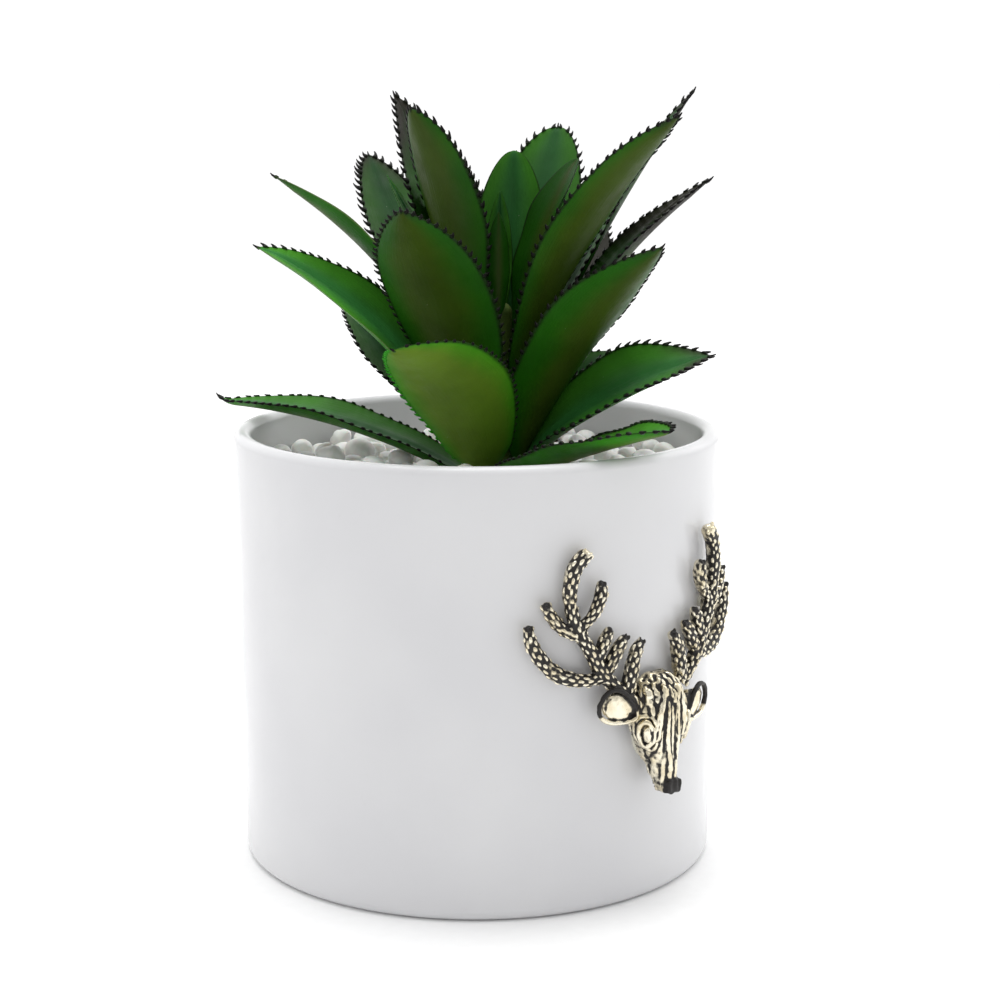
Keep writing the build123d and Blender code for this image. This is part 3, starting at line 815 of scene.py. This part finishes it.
class Casting:
    """Closed shells in mm that are joined and then skinned as one casting."""

    def __init__(self):
        self.verts = []
        self.faces = []
        mould = bmesh.new()
        bmesh.ops.create_icosphere(mould, subdivisions=2, radius=1)
        self.ball = np.array([v.co for v in mould.verts])
        self.ball_faces = [[v.index for v in f.verts] for f in mould.faces]
        mould.free()

    def add(self, verts, faces):
        """One more closed shell."""
        first = sum(len(v) for v in self.verts)
        self.verts.append(np.asarray(verts))
        self.faces += [tuple(first + i for i in face) for face in faces]

    def blob(self, centre, axes, sizes, power=1.0):
        """An ellipsoid with its three directions and half sizes, squarer at a lower power."""
        shape = np.sign(self.ball) * np.abs(self.ball) ** power
        self.add(centre + (shape * sizes) @ np.array(axes), self.ball_faces)

    def tube(self, centres, outward, width, depth, sides=14):
        """A tube of oval section with rounded ends, with a width and depth at each point."""
        ahead = unit(np.gradient(centres, axis=0))
        across = unit(np.cross(ahead, outward))
        outward = np.cross(across, ahead)
        travel = np.concatenate([[0], np.cumsum(np.linalg.norm(np.diff(centres, axis=0), axis=1))])
        near_end = np.minimum(travel, travel[-1] - travel) / np.maximum(width, 0.1)
        rounding = np.sqrt(np.clip(1 - (1 - np.clip(near_end, 0.02, 1)) ** 2, 0, 1))
        verts = []
        for k in range(sides):
            angle = 2 * pi * k / sides
            verts.append(centres + across * (width * rounding * cos(angle))[:, None]
                         + outward * (depth * rounding * sin(angle))[:, None])
        verts = np.stack(verts, 1).reshape(-1, 3)
        self.add(verts, [tuple(reversed(f)) for f in tube_faces(0, len(centres), sides)])
        return ahead, across, outward

    def ring(self, centre, axes, sizes, radius, squash=1.0, point=0.0):
        """A closed ring of round wire in the plane of two directions, narrowed at one end."""
        turns = np.linspace(0, 2 * pi, 40, endpoint=False)
        first, second, normal = np.array(axes)
        narrow = 1 - point * np.cos(turns)
        line = centre + np.outer(np.cos(turns) * sizes[0], first)
        line = line + np.outer(np.sin(turns) * sizes[1] * narrow, second)
        self.loop(line, normal, radius, squash)
        return line

    def loop(self, line, normal, radius, squash=1.0):
        """Round wire along a closed line."""
        ahead = unit(np.roll(line, -1, 0) - np.roll(line, 1, 0))
        across = np.cross(ahead, normal)
        sides = 10
        verts = []
        for k in range(sides):
            angle = 2 * pi * k / sides
            verts.append(line + radius * (across * cos(angle) + normal * sin(angle) * squash))
        verts = np.stack(verts, 1).reshape(-1, 3)
        faces = []
        for i in range(len(line)):
            here = i * sides
            there = (i + 1) % len(line) * sides
            for k in range(sides):
                n = (k + 1) % sides
                faces.append((here + n, here + k, there + k, there + n))
        self.add(verts, faces)


def head_size(z):
    """Half width and depth of the head at a height from the crown."""
    rows = np.array(HEAD)
    return np.interp(z, rows[:, 0], rows[:, 1]), np.interp(z, rows[:, 0], rows[:, 2])


def head_point(turn, z, proud=0.0):
    """A point on the head's surface, turned from the front by an angle in degrees."""
    half, depth = head_size(z)
    x = (half + proud) * sin(radians(turn))
    back = PAD_THICKNESS + SNOUT_LIFT * max(SNOUT_TOP - z, 0)
    return on_wall(x, z, back + (depth + proud - back) * abs(cos(radians(turn))) ** 0.8)


def head_frame(turn, z):
    """Directions on the head: down the face, across it and out of it."""
    down = unit(head_point(turn, z - 0.5) - head_point(turn, z + 0.5))
    across = unit(head_point(turn + 4, z) - head_point(turn - 4, z))
    return down, across, unit(np.cross(across, down))


def cast_antler(casting, side, rng):
    """One antler, its tines covered in beads; returns the tips left black and the polished ones."""
    tips = []
    for tine in TINES:
        rows = curve_through(tine, TINE_STEP)
        swell = 1 + 0.05 * np.sin(np.arange(len(rows)) * 0.55 + rng.uniform(0, 6))
        width = rows[:, 2] * swell * 0.86
        depth = np.minimum(TINE_DEPTH, width * 1.15)
        centres = np.array([on_wall(side * x, z, PAD_THICKNESS + TINE_DEPTH) for x, z, _ in rows])
        outward = centres * (1, 1, 0)
        ahead, across, outward = casting.tube(centres, unit(outward), width, depth)
        stride = int(BEAD_STEP / TINE_STEP / 2)
        for number, i in enumerate(range(1, len(rows) - 1, stride)):
            spread = (-68, 0, 68) if number % 2 else (-36, 36)
            for angle in spread:
                a = radians(angle + rng.uniform(-9, 9))
                normal = outward[i] * cos(a) + across[i] * sin(a)
                centre = centres[i] + across[i] * width[i] * sin(a) + outward[i] * depth[i] * cos(a)
                sizes = np.array(BEAD) * rng.uniform(0.8, 1.15)
                level = np.cross(ahead[i], normal)
                casting.blob(centre - normal * BEAD_SINK, (ahead[i], level, normal), sizes)
        tips.append((centres[-1] + outward[-1] * depth[-1], TIP_REACH))
    return tips[2:], tips[1:2]


def cast_head(casting, rng):
    """The head with its brows, eyes, ears and nose; returns what is left black and what is polished."""
    turns = np.linspace(-96, 96, 33)
    heights = np.linspace(HEAD[0][0], HEAD[-1][0], 54)
    verts = [head_point(turn, z) for z in heights for turn in turns]
    count = len(turns)
    faces = []
    for i in range(len(heights) - 1):
        here = i * count
        there = here + count
        for k in range(count):
            n = (k + 1) % count
            faces.append((here + k, here + n, there + n, there + k))
    faces += [end_face(0, count, True), end_face((len(heights) - 1) * count, count, False)]
    casting.add(verts, faces)
    black = []
    polished = []
    rows = np.linspace(0, 1, 20)
    full = np.ones(len(rows))
    for side in (1, -1):
        brow = np.array([head_point(side * (18 + 20 * s), -1.0 - 12.5 * s, 0.1) for s in rows])
        casting.tube(brow, unit(brow * (1, 1, 0)), full * 0.8, full * 0.75)
        ridge = np.array([head_point(side * (9 + 5 * sin(3 * s)), -4 - 17.0 * s) for s in rows])
        casting.tube(ridge, unit(ridge * (1, 1, 0)), full * 0.45, full * 0.45)
        cheek = head_point(side * CHEEK_TURN, CHEEK_Z, -1.2)
        casting.blob(cheek, head_frame(side * CHEEK_TURN, CHEEK_Z), (4.8, 2.6, 1.9))
        down, across, out = head_frame(side * EYE_TURN, EYE_Z)
        tilted = unit(down + side * 0.12 * across)
        level = unit(np.cross(out, tilted))
        eye = head_point(side * EYE_TURN, EYE_Z, 0.75)
        casting.ring(eye, (tilted, level, out), (2.9, 1.65), 0.52)
        casting.blob(eye - out * 0.5 - across * side * 0.35, (tilted, level, out), (1.9, 0.75, 0.7))
        black += [(eye + level * 0.75 * side * -1, 0.75), (eye + level * -0.2 + tilted * 1.5, 0.55)]
        lid = [head_point(side * (EYE_TURN + LID_TURN * sin(a)), EYE_Z + LID_HEIGHT * cos(a), 0.1)
               for a in np.linspace(0, 2 * pi, 40)[:-1]]
        casting.loop(np.array(lid), out, 0.42)
        ear_drop = EAR_DROP if side > 0 else 0.0
        middle = on_wall(side * EAR_X, EAR_Z - ear_drop, EAR_OFF)
        out = unit(np.array([side * 0.34, -1.0, -0.10]))
        long_way = unit(np.cross(out, np.cross((side * -0.90, 0, -0.42), out)))
        short_way = np.cross(out, long_way)
        casting.blob(middle - out * 0.9, (long_way, short_way, out), (4.5, 3.3, 1.2))
        casting.blob(on_wall(side * 9.0, -4.6 - ear_drop, 3.2), (long_way, short_way, out), (4.2, 2.6, 2.2))
        rim = casting.ring(middle, (long_way, short_way, out), (4.9, 3.4), 0.52, 1.2, 0.42)
        # The top of each ear's rim is made black and the middle of its cup bright.
        rim_top = rim[(rim - middle) @ np.array([0, 0, 1.0]) > -0.6]
        black += [(point, 1.05) for point in rim_top]
        polished.append((middle - out * 0.3, 2.9))
        for _ in range(CROWN_LUMPS):
            turn = side * rng.uniform(0, 62)
            z = rng.uniform(-5.5, 0.3)
            sizes = np.array([1.0, 0.55, 0.5]) * rng.uniform(0.8, 1.2)
            casting.blob(head_point(turn, z), head_frame(turn, z), sizes)
    nose = on_wall(0, NOSE_Z, NOSE_OFF)
    casting.blob(nose, np.eye(3), (2.1, 1.4, 1.6), 0.35)
    black += [(nose + (x, -0.7, z), 1.45) for x in (-1.5, 0, 1.5) for z in (-0.8, 0.6)]
    return black, polished


def smooth_rows(rows, pairs, rounds):
    """Rows averaged with their neighbours' a number of times."""
    count = len(rows)
    ends = np.concatenate([pairs[:, 0], pairs[:, 1]])
    others = np.concatenate([pairs[:, 1], pairs[:, 0]])
    share = np.bincount(ends, minlength=count).clip(1)
    for _ in range(rounds):
        total = [np.bincount(ends, rows[others, k], count) / share for k in range(3)]
        rows = 0.5 * rows + 0.5 * np.stack(total, 1)
    return rows


def read_normals(mesh):
    """A mesh's directions at its points as rows."""
    rows = np.empty(len(mesh.vertices) * 3)
    mesh.vertex_normals.foreach_get("vector", rows)
    return rows.reshape(-1, 3)


def skin_casting(casting, black, polished):
    """The joined shells as one skin, chased with lines, with its worn places marked."""
    rough = link_mesh("ornament_shells", np.vstack(casting.verts) * MM, casting.faces, brass_finish)
    skin = rough.modifiers.new("skin", "REMESH")
    skin.mode = "VOXEL"
    skin.voxel_size = SKIN_STEP
    skin.use_smooth_shade = True
    mesh = bpy.data.meshes.new_from_object(rough.evaluated_get(bpy.context.evaluated_depsgraph_get()))
    bpy.data.objects.remove(rough)
    pairs = np.empty(len(mesh.edges) * 2, int)
    mesh.edges.foreach_get("vertices", pairs)
    pairs = pairs.reshape(-1, 2)
    points = smooth_rows(read_points(mesh), pairs, SKIN_ROUNDS)
    mesh.vertices.foreach_set("co", points.ravel())
    mesh.update()
    mm = points / MM
    on_head = np.clip((CROWN + 1.5 - mm[:, 2]) / 2, 0, 1) * np.clip((8.5 - np.abs(mm[:, 0])) / 1.5, 0, 1)
    lines = np.array([noise.noise(Vector((x * 1.15, y * 0.8, z * 0.13))) for x, y, z in mm])
    pits = np.array([noise.noise(Vector((x * 0.9 + 7, y * 0.9, z * 0.9))) for x, y, z in mm])
    cut = on_head * 0.42 * np.clip(lines, -0.6, 0.3) + 0.12 * pits
    points = points + read_normals(mesh) * (cut * MM)[:, None]
    mesh.vertices.foreach_set("co", points.ravel())
    mesh.update()
    smooth = smooth_rows(points, pairs, WEAR_ROUNDS)
    height = np.einsum("ij,ij->i", points - smooth, read_normals(mesh)) / MM + 0.05 * on_head
    dark = np.zeros(len(points))
    for centre, reach in black:
        gap = np.linalg.norm(mm - centre, axis=1)
        dark = np.maximum(dark, np.clip((reach - gap) / 0.3 + 0.5, 0, 1))
    for centre, reach in polished:
        gap = np.linalg.norm(mm - centre, axis=1)
        height += 0.12 * np.clip((reach - gap) / 0.5 + 0.5, 0, 1)
    for key, values in (("height", height), ("black", dark)):
        mesh.attributes.new(key, "FLOAT", "POINT").data.foreach_set("value", values.astype(np.float32))
    return mesh


brass_finish, tree, shader = new_finish("antique_brass")
where = places(tree)
wear = grain(tree, where, 1300, 3)
patches = grain(tree, where, 260, 3)
worn = calc(tree, "ADD", mark(tree, "height"), calc(tree, "ADD", calc(
    tree, "MULTIPLY", wear, 0.10), calc(tree, "MULTIPLY", patches, 0.06)))
bright = remap(tree, worn, 0.100, 0.165)
bright = calc(tree, "MULTIPLY", bright, calc(tree, "SUBTRACT", 1.0, mark(tree, "black")))
gold = blend_colour(tree, remap(tree, patches, 0.35, 0.65), (0.87, 0.81, 0.65), (0.70, 0.62, 0.44))
feed(tree, shader, Base_Color=blend_colour(tree, bright, (0.012, 0.010, 0.009), gold))
feed(tree, shader, Metallic=remap(tree, bright, 0, 1, 0.25, 1.0))
sheen = calc(tree, "ADD", bright, calc(tree, "MULTIPLY", wear, 0.3))
feed(tree, shader, Roughness=remap(tree, sheen, 0, 1.3, 0.48, 0.24))
relief(tree, shader, wear, 0.06 * MM, 0.6)

rng = np.random.default_rng(23)
casting = Casting()
black_places = []
polished_places = []
for side in (1, -1):
    dark_tips, bright_tips = cast_antler(casting, side, rng)
    black_places += dark_tips
    polished_places += bright_tips
head_black, head_polished = cast_head(casting, rng)
black_places += head_black
polished_places += head_polished
ornament_mesh = skin_casting(casting, black_places, polished_places)
ornament_mesh.name = "ornament_cast"
ornament = bpy.data.objects.new("ornament_cast", ornament_mesh)
scene.collection.objects.link(ornament)
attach(ornament, "planter")
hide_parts("deer_ornament")
